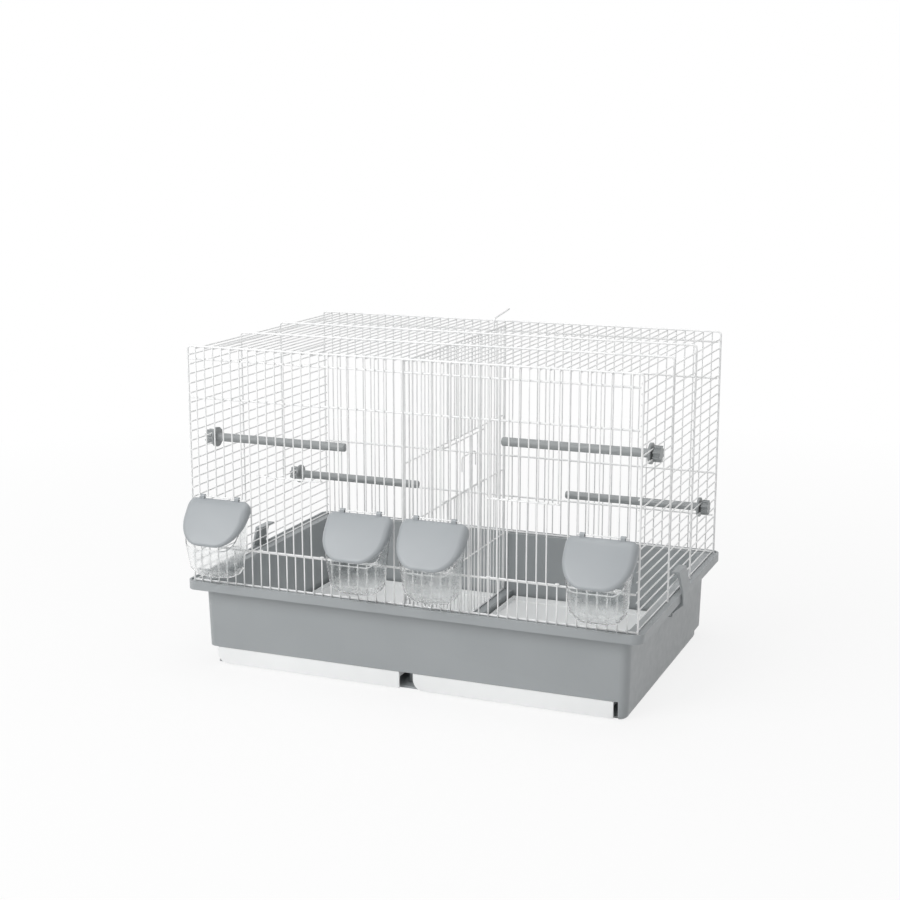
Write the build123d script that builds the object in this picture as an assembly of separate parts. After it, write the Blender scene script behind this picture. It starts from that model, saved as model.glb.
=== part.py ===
from build123d import *
import os

# A two-compartment wire breeding cage on a plastic base.
# X runs along the width, the front faces -Y, and Z is up.
# The origin is in the middle of the base's resting face, below the middle of the wire box.

# Wire grid
pitch = 12.5            # front, rear, roof and divider wires, centre to centre
side_pitch = 12.4       # cross wires up the sides
width_gap_count = 48
cage_depth = 387.5      # between the end hoops
cage_height = 310.0     # rim to the hoops' top run
inner_hoop_y = 56.25    # the two hoops between the ends
wire_radius = 0.9
frame_radius = 1.35
hoop_bend = 4.5         # to the wire's centre
weld_gap = 0.05         # between wires that cross
overrun = 4.0           # by which a cut passes the face it opens
slip = 0.3              # between pieces that move past each other

# Front and rear panels: lower rails by their height above the rim, upper ones by their drop from the top
rail_height = 48.0
upper_rail_drop = 66.0
top_rail_drop = 16.0
rear_low_height = 54.0
rear_mid_height = 114.0
rear_upper_drop = 64.0
rear_top_drop = 14.0

# Front doors
door_inner_gap_count = 9    # grid gaps from the middle to the door's inner guide wire
door_gap_count = 7
door_height = 98.0      # between its two cross wires
upper_stop = 2.0        # left between the raised door and the rail above

# Feeders
feeder_middle_counts = (-20.5, -4.5, 3.5, 20.5)     # grid gaps from the cage's middle
feeder_gap_count = 5
hanger_height = 116.0   # above the rim
knuckle_spread = 25.0
knuckle_width = 6.0
knuckle_radius = 2.6
knuckle_fit = 0.07
hood_half_width = 44.5
hood_drop = 2.0         # hood top below the hanger wire
hood_set_forward = 0.6  # hood back before the hanger wire
hood_height = 53.5
hood_corner = 33.0      # the face's lower corners, as seen from the front
hood_top_corner = 4.0
hood_top_reach = 5.0
hood_foot_reach = 46.0
hood_wall = 1.8
hood_round = 4.0
hood_edge_drop = 14.0       # from the hood's top to where its slanted edge meets the panel
hood_edge_reach = 38.0      # where the slanted edge meets the foot
lid_gap = 5.0               # between the hood's slanted edge and the cup's, upright
cup_wall = 1.5
cup_base_height = 17.0
cup_turn_height = 27.0
cup_waist_height = 58.0
cup_base_half_width = 26.0
cup_turn_half_width = 33.0
cup_waist_half_width = 35.5
cup_top_half_width = 43.0
cup_base_reach = 27.0
cup_turn_reach = 34.0
cup_waist_reach = 40.0
cup_corner = 14.0
cup_mouth_inset = 3.25      # from the opening's outer wires to the cup's mouth
cup_foot_ring = 2.0
hook_offset = 18.0
hook_width = 8.0
hook_drop = 4.0

# Base tub
base_height = 114.0     # resting face to the rim's top
rim_side_margin = 8.0       # from the hoops to the rim's edge
rim_front_margin = 11.25
rim_rear_margin = 9.25
rim_corner = 14.0
rim_skirt_height = 10.0
rim_lip_height = 1.5
rim_wall = 2.5
side_overhang = 19.0    # of the rim over the walls
front_overhang = 15.6
side_draft = 2.4        # of the walls, from the rim to the foot
front_draft = 2.4
wall_corner = 12.0
foot_round = 8.0        # of the walls' lower edges
tub_wall = 2.5
foot_side_wall = 10.6   # the walls' thickness beside the trays
foot_end_wall = 5.0     # in front of and behind them
inner_corner = 10.0
bay_height = 28.0       # resting face to the top of the tray bays
floor_thickness = 2.5
step_depth = 37.0       # of the raised strip at the rear
step_height = 12.0
runner_width = 4.0
runner_inset = 40.0
spine_half_width = 7.0
spine_height = 30.0
spine_recess = 20.0     # of its front end behind the bays' mouth
side_recess = 37.0      # of the left wall's lower front end, which the tray's front hides

# Trays
tray_gap = 0.6          # between a tray's front and the wall over it
tray_front_bottom = 2.0
tray_front_height = 21.5
tray_end_gap = 3.0      # from the left wall to the left tray
tray_spine_gap = 1.0    # from the spine to the right tray
tray_play = 7.0         # by which a tray is shorter than its bay
tray_front_thickness = 3.0
tray_front_corner = 14.0
tray_wall = 2.0
tray_wall_drop = 5.0    # of its walls below the bay's top
tray_rear_gap = 4.0
tray_side_inset = 2.0

# Perches
perch_reach = 190.0
perch_front_y = -135.0
perch_rear_left_y = 100.0
perch_rear_right_y = 121.0
perch_radius = 5.5
perch_end_round = 2.0
perch_gap_share = 0.5       # up the gap between two cross wires
perch_flange_radius = 13.0
perch_flange_thickness = 3.0
stud_radius = 4.0
stud_fit = 0.06
knob_radius = 10.0
knob_thickness = 9.0
knob_cap = 2.0
knob_flute_radius = 2.5
knob_flute_count = 8

# Divider
divider_x = -6.25
divider_end_gap = 2.0       # from the base's walls beside the trays
divider_clearance = 0.3     # over the base's spine
divider_top_gap = 0.5       # under the roof wires
divider_rim_height = 0.0    # the stiffener level with the rim
hatch_bottom_height = 96.0  # stiffeners below and above the hatch, from the rim
hatch_top_height = 176.0
hatch_hinge_place_count = -4    # grid gaps along Y from the middle
hatch_latch_place_count = 7
hatch_bar_inset = 4.0
hatch_overlap = 3.5
pull_width = 50.0
pull_height = 20.0
pull_drop = 26.0            # hatch's upper bar to the pull
pull_bend = 5.0
tab_inset = 59.75           # from the rear hoop to the tab's foot
tab_end_margin = 1.25       # past the rear hoop
tab_rise = 10.0
tab_end_rise = 17.0
tab_bend = 6.0

# Side clips
clip_y = -2.0
clip_width = 36.0
clip_thickness = 3.0
clip_hook_wire_count = 2    # the cross wire that the lip reaches over, counted from the rim
clip_lip_thickness = 2.0
clip_lip_reach = 7.0
clip_barrel_radius = 3.0
clip_pin_radius = 1.2
clip_pin_fit = 0.06
clip_axis_drop = 26.0       # pivot below the rim
clip_axis_inset = 12.0      # pivot inwards from the rim's edge
clip_lug_width = 5.0
clip_stand_off = 0.8        # plate from the hoops

# Worked out from the sizes above
half_width = width_gap_count * pitch / 2
half_depth = cage_depth / 2
side_gap_count = int((cage_height - hoop_bend) / side_pitch)
rim_z = base_height
top_z = rim_z + cage_height
crossing = frame_radius + wire_radius + weld_gap
wire_crossing = 2 * wire_radius + weld_gap
side_wire_x = half_width - crossing
roof_wire_z = top_z - crossing
foot_z = rim_z + weld_gap
low_wire_z = foot_z + frame_radius
rail_z = rim_z + rail_height
upper_rail_z = top_z - upper_rail_drop
panel_y = half_depth + crossing
wire_end_y = half_depth + frame_radius
rail_half_length = side_wire_x - wire_radius - weld_gap
door_y = -panel_y - (2 * wire_radius + slip)
door_bar_z = rail_z + frame_radius + slip + wire_radius
door_top_z = door_bar_z + door_height
door_inner_x = door_inner_gap_count * pitch
door_outer_x = door_inner_x + door_gap_count * pitch
door_travel = upper_rail_z - frame_radius - wire_radius - upper_stop - door_top_z
guide_ring_radius = 2 * wire_radius + slip
feeder_centres = [count * pitch for count in feeder_middle_counts]
half_feeder = feeder_gap_count * pitch / 2
hanger_y = -panel_y - wire_crossing
hanger_z = rim_z + hanger_height
hood_top_z = hanger_z - hood_drop
hood_foot_z = hood_top_z - hood_height
hood_back_y = hanger_y - hood_set_forward
cup_back_y = -panel_y - wire_radius - slip
cup_mouth_half_width = half_feeder - cup_mouth_inset
rim_half_width = half_width + rim_side_margin
rim_front = half_depth + rim_front_margin
rim_rear = half_depth + rim_rear_margin
wall_top_half_width = rim_half_width - side_overhang
wall_foot_half_width = wall_top_half_width - side_draft
wall_top_half_depth = rim_front - front_overhang
wall_foot_half_depth = wall_top_half_depth - front_draft
inner_foot_half_width = wall_foot_half_width - foot_side_wall
inner_foot_half_depth = wall_foot_half_depth - foot_end_wall
bay_rear = inner_foot_half_depth
tray_length = inner_foot_half_width - spine_half_width - tray_play
tray_starts = (-inner_foot_half_width + tray_end_gap, spine_half_width + tray_spine_gap)
tray_front_top = tray_front_bottom + tray_front_height
tray_floor_z = step_height + floor_thickness + slip
tray_wall_top = bay_height - tray_wall_drop
tray_rear = bay_rear - tray_rear_gap
perch_places = (
    (-1, perch_front_y, 14),
    (-1, perch_rear_left_y, 6),
    (1, perch_front_y, 16),
    (1, perch_rear_right_y, 6),
)
divider_half_depth = inner_foot_half_depth - divider_end_gap
divider_bottom_z = spine_height + divider_clearance + frame_radius
divider_top_z = roof_wire_z - wire_radius - divider_top_gap - frame_radius
tab_y = half_depth - tab_inset
tab_end_y = half_depth + tab_end_margin
clip_axis_x = rim_half_width - clip_axis_inset
clip_axis_z = rim_z - clip_axis_drop


def save(name, pieces):
    """Write one node, of one solid or several."""
    solids = [solid for piece in pieces for solid in piece.solids()]
    node = solids[0] if len(solids) == 1 else Compound(solids)
    node.label = name
    export_step(node, f"parts/{name}.step")


def rod(start, end, radius):
    """A straight round wire between two points."""
    span = Vector(*end) - Vector(*start)
    return Solid.make_cylinder(radius, span.length, Plane(origin=start, z_dir=span))


def block(low, high):
    """A box between two corners."""
    size = Vector(*high) - Vector(*low)
    return Pos(*low) * Box(size.X, size.Y, size.Z, align=Align.MIN)


def rounded_plate(half_x, front, rear, corner):
    """A rectangle with round corners, as deep as its front and rear reach."""
    return Pos(0, (rear - front) / 2) * RectangleRounded(2 * half_x, front + rear, corner)


def grid_x(place):
    """X of a front or rear wire, counted from the left."""
    return place * pitch - half_width


def hoop(y):
    """One bent hoop, as straight runs and corners that meet face to face."""
    shoulder_x = half_width - hoop_bend
    shoulder_z = top_z - hoop_bend
    pieces = [rod((-shoulder_x, y, top_z), (shoulder_x, y, top_z), frame_radius)]
    for side in (-1, 1):
        leg_x = side * half_width
        pieces.append(rod((leg_x, y, foot_z), (leg_x, y, shoulder_z), frame_radius))
        start = Plane(origin=(leg_x, y, shoulder_z), z_dir=(0, 0, 1)) * Circle(frame_radius)
        centre = Axis((side * shoulder_x, y, shoulder_z), (0, -side, 0))
        pieces.append(revolve(start, centre, 90))
    return pieces


def side_wires(side):
    """The cross wires up one side, inside the hoops."""
    x = side * side_wire_x
    heights = [low_wire_z + place * side_pitch for place in range(side_gap_count + 1)]
    return [rod((x, -wire_end_y, z), (x, wire_end_y, z), wire_radius) for z in heights]


def roof_wires():
    """The cross wires under the hoops' top runs."""
    places = [grid_x(place) for place in range(1, width_gap_count)]
    return [rod((x, -wire_end_y, roof_wire_z), (x, wire_end_y, roof_wire_z), wire_radius) for x in places]


def front_gap_top(x):
    """Height where the wire above an opening starts, or None where the wire runs through."""
    if door_inner_x < abs(x) < door_outer_x:
        return door_top_z - wire_radius
    if any(abs(x - centre) < half_feeder for centre in feeder_centres):
        return hanger_z - wire_radius
    return None


def front_wires():
    """The front panel's upright wires, cut at the doorways and feeder openings."""
    pieces = []
    for place in range(1, width_gap_count):
        x = grid_x(place)
        restart_z = front_gap_top(x)
        if restart_z is None:
            pieces.append(rod((x, -panel_y, foot_z), (x, -panel_y, top_z), wire_radius))
            continue
        pieces.append(rod((x, -panel_y, foot_z), (x, -panel_y, rail_z + frame_radius), wire_radius))
        pieces.append(rod((x, -panel_y, restart_z), (x, -panel_y, top_z), wire_radius))
    return pieces


def rails(y, levels):
    """The panel's long horizontal wires, between the cage's sides."""
    return [rod((-rail_half_length, y, z), (rail_half_length, y, z), frame_radius) for z in levels]


def lintels():
    """The short wires over the doorways, clear of the guide wires on both sides."""
    y = -panel_y + wire_crossing
    inner_x = door_inner_x + guide_ring_radius + wire_radius + slip
    outer_x = door_outer_x - guide_ring_radius - wire_radius - slip
    return [rod((side * inner_x, y, door_top_z), (side * outer_x, y, door_top_z), wire_radius)
            for side in (-1, 1)]


def hangers():
    """The short wires that the feeder hoods hang on."""
    reach = half_feeder + wire_radius
    return [rod((centre - reach, hanger_y, hanger_z), (centre + reach, hanger_y, hanger_z), wire_radius)
            for centre in feeder_centres]


def rear_wires():
    """The rear panel's upright wires."""
    places = [grid_x(place) for place in range(1, width_gap_count)]
    return [rod((x, panel_y, foot_z), (x, panel_y, top_z), wire_radius) for x in places]


def guide_ring(x, y, z, ring_radius):
    """A wire bent round an upright wire, lying level."""
    return Pos(x, y, z) * Torus(ring_radius, wire_radius)


def door(side):
    """One lifting door: bars in front of the panel, with rings on the two guide wires."""
    inner_x = side * door_inner_x
    outer_x = side * door_outer_x
    bar_gap = guide_ring_radius + wire_radius
    pieces = []
    for z in (door_bar_z, door_top_z):
        for x in (inner_x, outer_x):
            pieces.append(guide_ring(x, -panel_y, z, guide_ring_radius))
        start = (inner_x + side * bar_gap, door_y, z)
        end = (outer_x - side * bar_gap, door_y, z)
        pieces.append(rod(start, end, wire_radius))
    upright_y = door_y - wire_crossing
    for place in range(1, door_gap_count):
        x = inner_x + side * place * pitch
        low = (x, upright_y, door_bar_z - wire_radius)
        high = (x, upright_y, door_top_z + wire_radius)
        pieces.append(rod(low, high, wire_radius))
    return pieces


def hood_block(inset, back_y):
    """The hood's outer form, or the hollow inside it when inset by the wall."""
    half = hood_half_width - inset
    top = hood_top_z - inset
    foot = hood_foot_z + inset
    low_corner = hood_corner - inset
    top_corner = hood_top_corner - inset
    front = Polyline((half, top - top_corner), (half, foot + low_corner))
    front += RadiusArc((half, foot + low_corner), (half - low_corner, foot), low_corner)
    front += Line((half - low_corner, foot), (low_corner - half, foot))
    front += RadiusArc((low_corner - half, foot), (-half, foot + low_corner), low_corner)
    front += Line((-half, foot + low_corner), (-half, top - top_corner))
    front += RadiusArc((-half, top - top_corner), (top_corner - half, top), top_corner)
    front += Line((top_corner - half, top), (half - top_corner, top))
    front += RadiusArc((half - top_corner, top), (half, top - top_corner), top_corner)
    slab = extrude(Plane.XZ.offset(-back_y) * make_face(front), hood_foot_reach + overrun)
    slope = (hood_foot_reach - hood_top_reach) / hood_height
    top_y = hood_back_y - hood_top_reach + inset * (1 + slope**2) ** 0.5
    high_z = hood_top_z + overrun
    low_z = hood_foot_z - overrun
    profile = Polyline(
        (back_y, low_z),
        (back_y, high_z),
        (top_y + slope * overrun, high_z),
        (top_y - slope * (hood_top_z - low_z), low_z),
        close=True,
    )
    return slab & extrude(Plane.YZ * make_face(profile), hood_half_width + overrun, both=True)


def beyond_lid(lowered, below):
    """The space below or above the slanted line where a hood meets its cup, which a cut takes away."""
    slope = (hood_height - hood_edge_drop) / hood_edge_reach
    edge_z = hood_top_z - hood_edge_drop - lowered
    back_y = hood_back_y + overrun
    far_reach = hood_foot_reach + overrun
    back_z = edge_z + slope * overrun
    far_z = edge_z - slope * far_reach
    limit = rim_z - overrun if below else hanger_z + overrun
    profile = Polyline(
        (back_y, back_z),
        (hood_back_y - far_reach, far_z),
        (hood_back_y - far_reach, limit),
        (back_y, limit),
        close=True,
    )
    return extrude(Plane.YZ * make_face(profile), hood_half_width + overrun, both=True)


def hood(centre):
    """One feeder hood: a slanted face with round lower corners, and two knuckles on its hanger wire."""
    shell = hood_block(0, hood_back_y)
    face_edges = [edge for edge in shell.edges() if edge.center().Y < hood_back_y - hood_round / 2]
    across = shell.edges().filter_by(Axis.Y)
    shell = fillet([edge for edge in face_edges if edge not in across], hood_round)
    shell -= hood_block(hood_wall, hood_back_y + overrun)
    shell -= beyond_lid(0, True)
    for side in (-1, 1):
        left = side * knuckle_spread - knuckle_width / 2
        right = left + knuckle_width
        barrel = rod((left, hanger_y, hanger_z), (right, hanger_y, hanger_z), knuckle_radius)
        web_low = (left, hanger_y - knuckle_radius, hood_top_z - hood_wall)
        web = block(web_low, (right, hanger_y - hood_set_forward, hanger_z))
        bore = rod((left - overrun, hanger_y, hanger_z), (right + overrun, hanger_y, hanger_z),
                   wire_radius + knuckle_fit)
        shell = shell + barrel + web - bore
    return Pos(centre, 0, 0) * shell


def cup_outline(half, reach, corner):
    """A cup's level outline: straight at the panel, with two round corners in front."""
    outline = Polyline((half - corner, -reach), (corner - half, -reach))
    outline += RadiusArc((corner - half, -reach), (-half, corner - reach), corner)
    outline += Polyline((-half, corner - reach), (-half, 0), (half, 0), (half, corner - reach))
    outline += RadiusArc((half, corner - reach), (half - corner, -reach), corner)
    return make_face(outline)


def cup_block(inset, lift):
    """The cup's outer form, or the hollow inside it when inset by the wall."""
    levels = (
        (cup_base_height + lift, cup_base_half_width, cup_base_reach),
        (cup_turn_height + lift, cup_turn_half_width, cup_turn_reach),
        (cup_waist_height, cup_waist_half_width, cup_waist_reach),
        (hanger_height, cup_top_half_width, cup_waist_reach),
    )
    sections = []
    for height, half, reach in levels:
        outline = cup_outline(half - inset, reach - 2 * inset, cup_corner - inset)
        sections.append(Pos(0, cup_back_y - inset, rim_z + height) * outline)
    return loft(sections, ruled=True)


def cup_hook(centre_x):
    """One hook that hangs the cup on the rail."""
    rail_top_z = rail_z + frame_radius + slip
    behind_y = -half_depth + frame_radius + slip
    left = centre_x - hook_width / 2
    right = centre_x + hook_width / 2
    arm = block((left, cup_back_y - cup_wall, rail_top_z), (right, behind_y + cup_wall, rail_top_z + cup_wall))
    tip = block((left, behind_y, rail_top_z - hook_drop), (right, behind_y + cup_wall, rail_top_z + cup_wall))
    return arm + tip


def cup(centre):
    """One clear cup: open to the cage above its low back wall, hung on the rail by two hooks."""
    shell = cup_block(0, 0)
    shell -= cup_block(cup_wall, cup_wall)
    back_top_z = rail_z + frame_radius + slip + cup_wall
    mouth_low = (-cup_mouth_half_width, cup_back_y - cup_wall - weld_gap, back_top_z)
    shell -= block(mouth_low, (cup_mouth_half_width, cup_back_y + overrun, hanger_z))
    shell -= beyond_lid(lid_gap, False)
    for side in (-1, 1):
        shell += cup_hook(side * hook_offset)
    base_y = cup_back_y - cup_base_reach / 2
    ring_radius = cup_base_reach / 2 - cup_wall
    ring = Cylinder(ring_radius, cup_foot_ring, align=(Align.CENTER, Align.CENTER, Align.MAX))
    ring -= Cylinder(ring_radius - cup_wall, cup_foot_ring, align=(Align.CENTER, Align.CENTER, Align.MAX))
    shell += Pos(0, base_y, rim_z + cup_base_height) * ring
    return Pos(centre, 0, 0) * shell


def tub():
    """The base tub: tapered walls, a turned-down rim, two tray bays and a spine between them."""
    foot = rounded_plate(wall_foot_half_width, wall_foot_half_depth, wall_foot_half_depth, wall_corner)
    skirt_z = base_height - rim_skirt_height
    head = rounded_plate(wall_top_half_width, wall_top_half_depth, wall_top_half_depth, wall_corner)
    walls = loft([foot, Pos(0, 0, skirt_z) * head])
    walls = fillet(walls.edges().group_by(Axis.Z)[0], foot_round)
    rim_height = rim_skirt_height + rim_lip_height
    rim_plate = rounded_plate(rim_half_width, rim_front, rim_rear, rim_corner)
    rim = extrude(Pos(0, 0, skirt_z) * rim_plate, rim_height)
    lip = rounded_plate(rim_half_width - rim_wall, rim_front - rim_wall, rim_rear - rim_wall,
                        rim_corner - rim_wall)
    rim -= extrude(Pos(0, 0, base_height) * lip, overrun)
    groove = extrude(Pos(0, 0, skirt_z) * lip, rim_skirt_height - rim_wall)
    groove -= extrude(Pos(0, 0, skirt_z) * head, rim_skirt_height)
    shell = walls + (rim - groove)
    inner_foot = rounded_plate(inner_foot_half_width, inner_foot_half_depth, inner_foot_half_depth,
                               inner_corner)
    inner_head = rounded_plate(wall_top_half_width - tub_wall, wall_top_half_depth - tub_wall,
                               wall_top_half_depth - tub_wall, wall_corner - tub_wall)
    shell -= loft([Pos(0, 0, bay_height) * inner_foot, Pos(0, 0, base_height) * inner_head])
    step_y = wall_foot_half_depth - step_depth
    shell -= block((-rim_half_width, step_y, -overrun), (rim_half_width, rim_rear, step_height))
    rear_floor_z = step_height + floor_thickness
    for side in (-1, 1):
        shell -= tray_bay(side, step_y, rear_floor_z)
    shell -= block((-wall_foot_half_width - overrun, -wall_top_half_depth - overrun, -overrun),
                   (inner_foot_half_width, -inner_foot_half_depth + overrun, tray_front_top + tray_gap))
    shell -= block((-wall_foot_half_width - overrun, -wall_top_half_depth - overrun, -overrun),
                   (-inner_foot_half_width, -inner_foot_half_depth + side_recess, tray_front_top + tray_gap))
    front_y = -inner_foot_half_depth + spine_recess
    shell -= block((-spine_half_width, -inner_foot_half_depth, floor_thickness),
                   (spine_half_width, front_y, bay_height))
    spine = block((-spine_half_width, front_y, 0), (spine_half_width, inner_foot_half_depth, spine_height))
    spine -= block((-rim_half_width, step_y, -overrun), (rim_half_width, rim_rear, step_height))
    shell += spine
    for side in (-1, 1):
        for x in (spine_half_width + runner_inset, inner_foot_half_width - runner_inset):
            left = side * x - runner_width / 2
            shell += block((left, front_y, 0), (left + runner_width, step_y, rear_floor_z))
        shell += clip_lugs(side)
    return shell


def tray_bay(side, step_y, rear_floor_z):
    """The hollow for one tray, lower in front of the raised strip."""
    low_x, high_x = sorted((side * spine_half_width, side * inner_foot_half_width))
    wall_y = step_y - floor_thickness
    hollow = block((low_x, -inner_foot_half_depth, floor_thickness), (high_x, wall_y, bay_height))
    hollow += block((low_x, -inner_foot_half_depth, rear_floor_z), (high_x, bay_rear, bay_height))
    return hollow


def tray(low_x):
    """One pull-out tray: a shallow box behind a taller front with one round lower corner."""
    high_x = low_x + tray_length
    front_y = -wall_foot_half_depth
    corner_x = low_x + tray_front_corner
    corner_z = tray_front_bottom + tray_front_corner
    outline = Polyline(
        (corner_x, tray_front_bottom),
        (high_x, tray_front_bottom),
        (high_x, tray_front_top),
        (low_x, tray_front_top),
        (low_x, corner_z),
    )
    outline += RadiusArc((low_x, corner_z), (corner_x, tray_front_bottom), -tray_front_corner)
    front = extrude(Plane.XZ.offset(-front_y) * make_face(outline), -tray_front_thickness)
    back_of_front_y = front_y + tray_front_thickness
    body = block((low_x + tray_side_inset, back_of_front_y, tray_floor_z),
                 (high_x - tray_side_inset, tray_rear, tray_wall_top))
    inset = tray_side_inset + tray_wall
    body -= block((low_x + inset, back_of_front_y, tray_floor_z + tray_wall),
                  (high_x - inset, tray_rear - tray_wall, tray_wall_top + overrun))
    return front + body


def perch(side, y, gap):
    """One cantilever perch: a round bar with a flange inside the wires and a stud through them."""
    z = low_wire_z + (gap + perch_gap_share) * side_pitch
    flange_x = side_wire_x - wire_radius - slip
    outwards = (Align.CENTER, Align.CENTER, Align.MIN)
    inwards = (Align.CENTER, Align.CENTER, Align.MAX)
    bar = Cylinder(perch_radius, perch_reach, align=inwards)
    bar = fillet(bar.edges().group_by(Axis.Z)[0], perch_end_round)
    flange = Cylinder(perch_flange_radius, perch_flange_thickness, align=inwards)
    stud_length = 2 * (wire_radius + slip) + knob_thickness - knob_cap - slip
    stud = Cylinder(stud_radius, stud_length, align=outwards)
    place = Plane(origin=(side * flange_x, y, z), z_dir=(side, 0, 0))
    return place * (bar + flange + stud)


def perch_knob(side, y, gap):
    """The fluted nut on a perch's stud, outside the wires."""
    z = low_wire_z + (gap + perch_gap_share) * side_pitch
    outwards = (Align.CENTER, Align.CENTER, Align.MIN)
    knob = Cylinder(knob_radius, knob_thickness, align=outwards)
    knob -= Cylinder(stud_radius + stud_fit, knob_thickness - knob_cap, align=outwards)
    flute = Pos(knob_radius, 0, 0) * Cylinder(knob_flute_radius, knob_thickness, align=outwards)
    for turn in range(knob_flute_count):
        knob -= Rot(0, 0, turn * 360 / knob_flute_count) * flute
    place = Plane(origin=(side * (side_wire_x + wire_radius + slip), y, z), z_dir=(side, 0, 0))
    return place * knob


def hatch_y(place):
    """Y of a divider wire, counted from the middle."""
    return place * pitch


def divider():
    """The divider: a thick frame, upright wires between, and thin stiffeners on its left face."""
    x = divider_x
    end_y = divider_half_depth
    low = divider_bottom_z
    high = divider_top_z
    pieces = [
        rod((x, -end_y - frame_radius, low), (x, end_y + frame_radius, low), frame_radius),
        rod((x, -end_y - frame_radius, high), (x, end_y + frame_radius, high), frame_radius),
    ]
    start_z = low + frame_radius + weld_gap
    stop_z = high - frame_radius - weld_gap
    for y in (-end_y, end_y):
        pieces.append(rod((x, y, start_z), (x, y, stop_z), frame_radius))
    hatch_low = rim_z + hatch_bottom_height
    hatch_high = rim_z + hatch_top_height
    reach = int(divider_half_depth / pitch)
    for place in range(-reach, reach + 1):
        y = hatch_y(place)
        if hatch_hinge_place_count < place < hatch_latch_place_count:
            pieces.append(rod((x, y, start_z), (x, y, hatch_low + wire_radius), wire_radius))
            pieces.append(rod((x, y, hatch_high - wire_radius), (x, y, stop_z), wire_radius))
        else:
            pieces.append(rod((x, y, start_z), (x, y, stop_z), wire_radius))
    stiffener_x = x - wire_crossing
    for z in (rim_z + divider_rim_height, hatch_low, hatch_high):
        pieces.append(rod((stiffener_x, -end_y, z), (stiffener_x, end_y, z), wire_radius))
    return pieces


def divider_tab():
    """The bent wire from the divider's top bar, up between two roof wires and over the rear edge."""
    start_z = divider_top_z + frame_radius + weld_gap
    path = FilletPolyline(
        (divider_x, tab_y, start_z),
        (divider_x, tab_y, top_z + tab_rise),
        (divider_x, tab_end_y, top_z + tab_end_rise),
        radius=tab_bend,
    )
    return sweep(Plane(origin=path @ 0, z_dir=path % 0) * Circle(frame_radius), path)


def hatch():
    """The divider's hatch: two bars with hinge rings on one upright wire, and wider-spaced uprights."""
    bar_x = divider_x + 2 * wire_radius + slip
    upright_x = bar_x + wire_crossing
    hinge_y = hatch_y(hatch_hinge_place_count)
    free_y = hatch_y(hatch_latch_place_count) + hatch_overlap
    low = rim_z + hatch_bottom_height + hatch_bar_inset
    high = rim_z + hatch_top_height - hatch_bar_inset
    pieces = []
    for z in (low, high):
        pieces.append(guide_ring(divider_x, hinge_y, z, guide_ring_radius))
        start_y = hinge_y + guide_ring_radius + wire_radius
        pieces.append(rod((bar_x, start_y, z), (bar_x, free_y, z), wire_radius))
    for place in range(hatch_hinge_place_count + 1, hatch_latch_place_count, 2):
        y = hatch_y(place)
        pieces.append(rod((upright_x, y, low - wire_radius), (upright_x, y, high + wire_radius), wire_radius))
    return pieces


def hatch_pull():
    """The wire pull on the hatch: a staple across its uprights."""
    x = divider_x + 2 * wire_radius + slip + 2 * wire_crossing
    middle_y = hatch_y((hatch_hinge_place_count + hatch_latch_place_count + 1) / 2)
    top = rim_z + hatch_top_height - pull_drop
    left = middle_y - pull_width / 2
    right = middle_y + pull_width / 2
    path = FilletPolyline((x, left, top - pull_height), (x, left, top), (x, right, top),
                          (x, right, top - pull_height), radius=pull_bend)
    return sweep(Plane(origin=path @ 0, z_dir=path % 0) * Circle(wire_radius), path)


def clip_lugs(side):
    """Two lugs on the base's wall, below its rim, that carry a clip's pin."""
    lugs = []
    for end in (-1, 1):
        middle = clip_y + end * (clip_width / 2 + slip + clip_lug_width / 2)
        near_y = middle - clip_lug_width / 2
        far_y = middle + clip_lug_width / 2
        near = (side * clip_axis_x, near_y, clip_axis_z)
        far = (side * clip_axis_x, far_y, clip_axis_z)
        xs = sorted((side * (wall_top_half_width - tub_wall), side * clip_axis_x))
        arm = block((xs[0], near_y, clip_axis_z - clip_barrel_radius),
                    (xs[1], far_y, clip_axis_z + clip_barrel_radius))
        lugs.append(rod(near, far, clip_barrel_radius) + arm - rod(near, far, clip_pin_radius + weld_gap))
    return lugs[0] + lugs[1]


def clip(side):
    """One side clip: a bent plate round the rim on a pivot barrel, with a lip in over a cross wire."""
    inner_x = half_width + frame_radius + clip_stand_off
    rim_x = rim_half_width + slip
    lip_x = inner_x - clip_lip_reach
    lip_z = low_wire_z + clip_hook_wire_count * side_pitch + wire_radius + slip
    over_rim_z = rim_z + rim_lip_height + slip
    under_rim_z = rim_z - rim_skirt_height - slip
    leg_half = clip_thickness / 2
    profile = Polyline(
        (lip_x, lip_z),
        (inner_x, lip_z),
        (rim_x, over_rim_z),
        (rim_x, under_rim_z),
        (clip_axis_x, clip_axis_z + leg_half),
        (clip_axis_x, clip_axis_z - leg_half),
        (rim_x + clip_thickness, under_rim_z - clip_thickness),
        (rim_x + clip_thickness, over_rim_z),
        (inner_x + clip_thickness, lip_z + clip_lip_thickness),
        (lip_x, lip_z + clip_lip_thickness),
        close=True,
    )
    low_y = clip_y - clip_width / 2
    high_y = clip_y + clip_width / 2
    body = extrude(Plane.XZ.offset(-high_y) * make_face(profile), clip_width)
    body += rod((clip_axis_x, low_y, clip_axis_z), (clip_axis_x, high_y, clip_axis_z), clip_barrel_radius)
    body -= rod((clip_axis_x, low_y - overrun, clip_axis_z), (clip_axis_x, high_y + overrun, clip_axis_z),
                clip_pin_radius + clip_pin_fit)
    return body if side > 0 else mirror(body, Plane.YZ)


def clip_pin(side):
    """The pin through a clip's barrel and its two lugs."""
    reach = clip_width / 2 + slip + clip_lug_width
    x = side * clip_axis_x
    return rod((x, clip_y - reach, clip_axis_z), (x, clip_y + reach, clip_axis_z), clip_pin_radius)


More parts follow.
